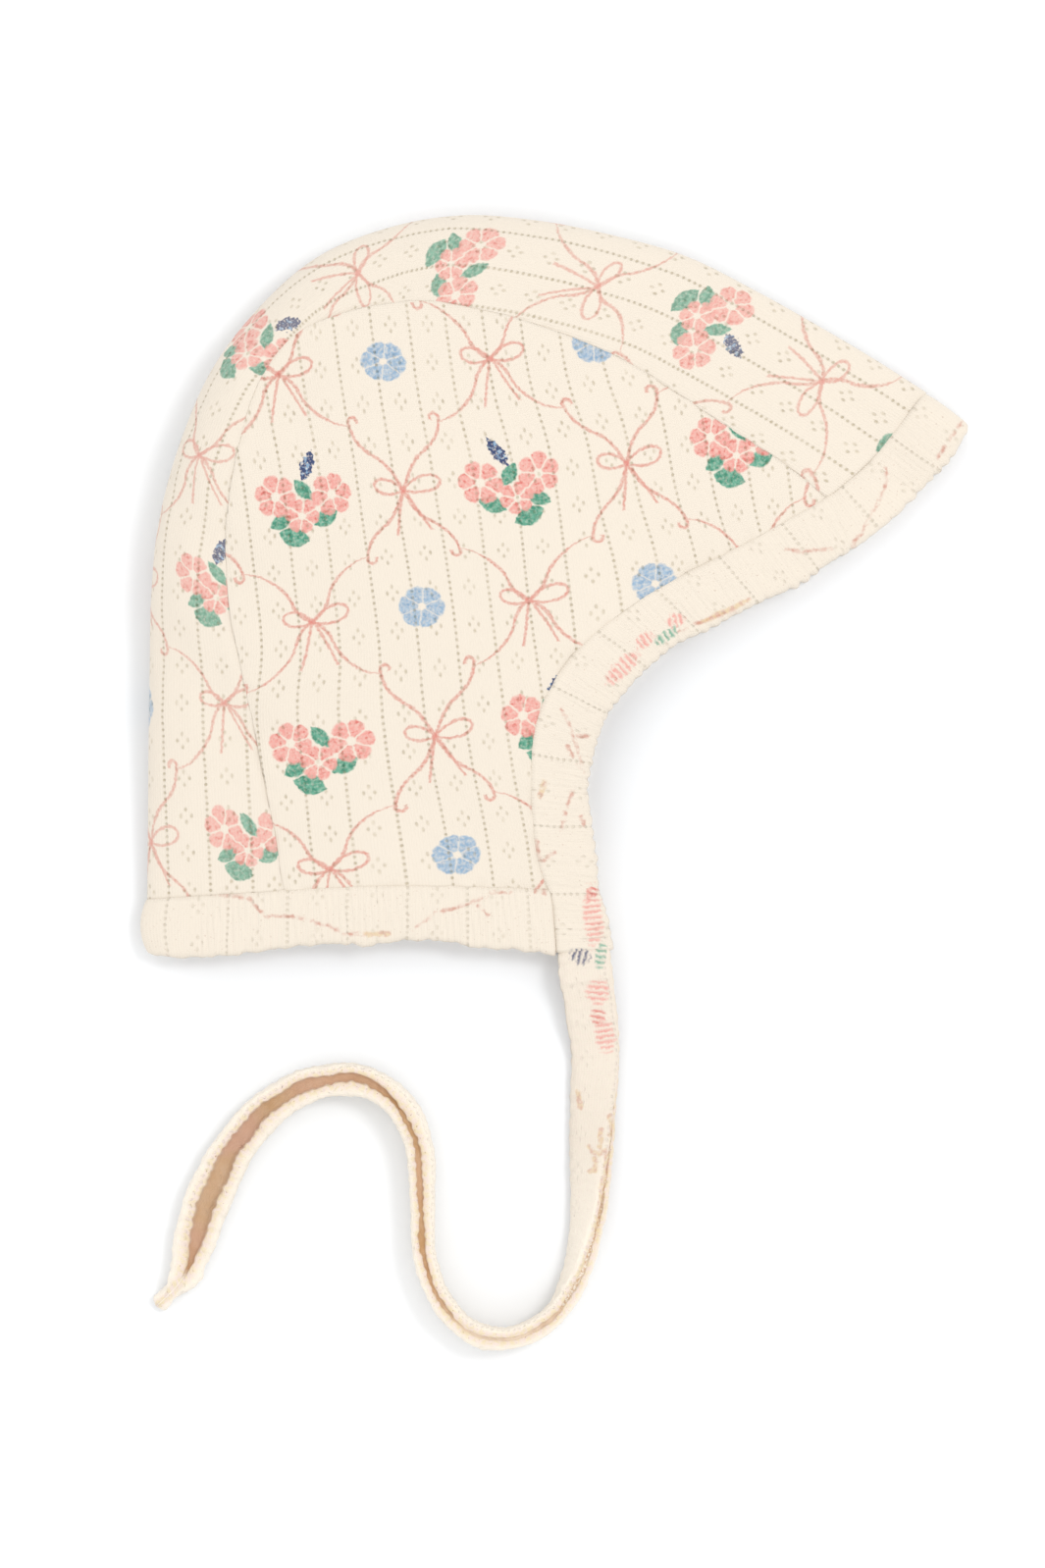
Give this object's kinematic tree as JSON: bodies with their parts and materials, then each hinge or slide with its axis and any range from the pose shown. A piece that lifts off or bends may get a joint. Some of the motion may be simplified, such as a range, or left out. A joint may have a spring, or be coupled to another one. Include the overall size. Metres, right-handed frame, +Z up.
{
  "type": "baby bonnet",
  "caption": "Soft knitted baby bonnet with a built-in peak, bound edges and chin ties, lying on its side with the crown softly puffed.",
  "frame": {"origin": "on the floor side of the lower side panel, near the middle of the cap", "axes": "+Z up from the floor the bonnet lies on, +X towards the peak, +Y towards the crown, the neck edge and the visible tie towards -Y"},
  "size_m": [0.1969, 0.2699, 0.0281],
  "materials": {
    "panel_knit": "fine printed cotton knit, matt",
    "band_knit": "folded cotton knit binding, matt",
    "tie_knit": "folded cotton knit tape, matt"
  },
  "bodies": {
    "root": {"side_panel_right": "panel_knit", "side_panel_left": "panel_knit", "centre_panel": "panel_knit", "neck_hem": "band_knit", "face_binding": "band_knit", "tie_right": "tie_knit", "tie_left": "tie_knit"}
  },
  "joints": []
}
